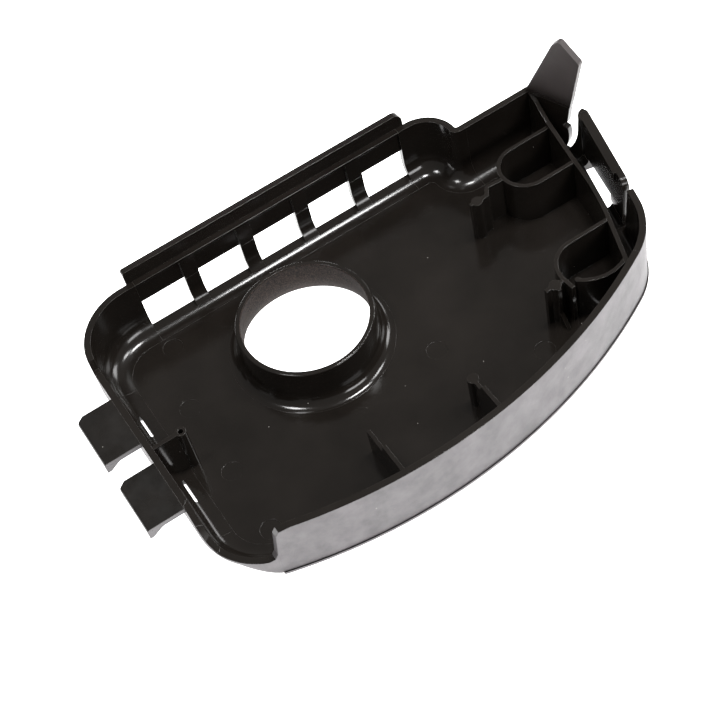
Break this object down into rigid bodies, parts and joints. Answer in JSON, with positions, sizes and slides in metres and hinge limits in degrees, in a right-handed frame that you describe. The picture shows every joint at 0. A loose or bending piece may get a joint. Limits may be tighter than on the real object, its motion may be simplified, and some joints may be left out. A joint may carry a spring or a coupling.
{
  "type": "air filter housing",
  "caption": "D-shaped clip-on air filter housing cover with a round intake collar, louvred back wall, pull tongue, spring latch and end hooks.",
  "frame": {"origin": "on the intake collar's axis, in the plane of the cover's outer face, on which it lies", "axes": "+Z along the collar's axis out of the tray's open side, +X along the louvred back wall towards the latch end, +Y towards the back wall"},
  "size_m": [0.1771, 0.1077, 0.0484],
  "materials": {
    "gloss_interior": "glossy, as moulded",
    "matte_skirt": "matte, lightly grained"
  },
  "bodies": {
    "cover": {"floor_panel": "gloss_interior", "bore_collar": "gloss_interior", "grille_sill": "gloss_interior", "grille_header": "gloss_interior", "grille_post_1": "gloss_interior", "grille_post_2": "gloss_interior", "grille_post_3": "gloss_interior", "grille_post_4": "gloss_interior", "rear_flange": "gloss_interior", "rear_left_corner": "gloss_interior", "left_wall": "gloss_interior", "front_left_corner": "gloss_interior", "front_skirt": "matte_skirt", "front_right_corner": "matte_skirt", "skirt_bead": "matte_skirt", "rear_step_corner": "gloss_interior", "rear_right_wall": "gloss_interior", "tongue_wall": "gloss_interior", "pull_tongue": "matte_skirt", "latch_foot": "gloss_interior", "hook_rear": "gloss_interior", "hook_front": "gloss_interior", "left_rib": "gloss_interior", "rear_pocket": "gloss_interior", "front_pocket_upper": "gloss_interior", "front_pocket_lower": "gloss_interior", "rear_post": "gloss_interior", "front_post": "gloss_interior", "gusset_left": "gloss_interior", "gusset_right": "gloss_interior", "end_rib": "gloss_interior"},
    "latch": {"latch_arm": "gloss_interior"}
  },
  "joints": [
    {"name": "latch_flex", "type": "hinge", "parent": "cover", "child": "latch", "pos_m": [0.10161, -0.00726, 0.0037], "axis": [0.242, 0.9703, 0], "range_deg": [-2, 6], "stiffness_Nm_per_rad": 1.6}
  ]
}
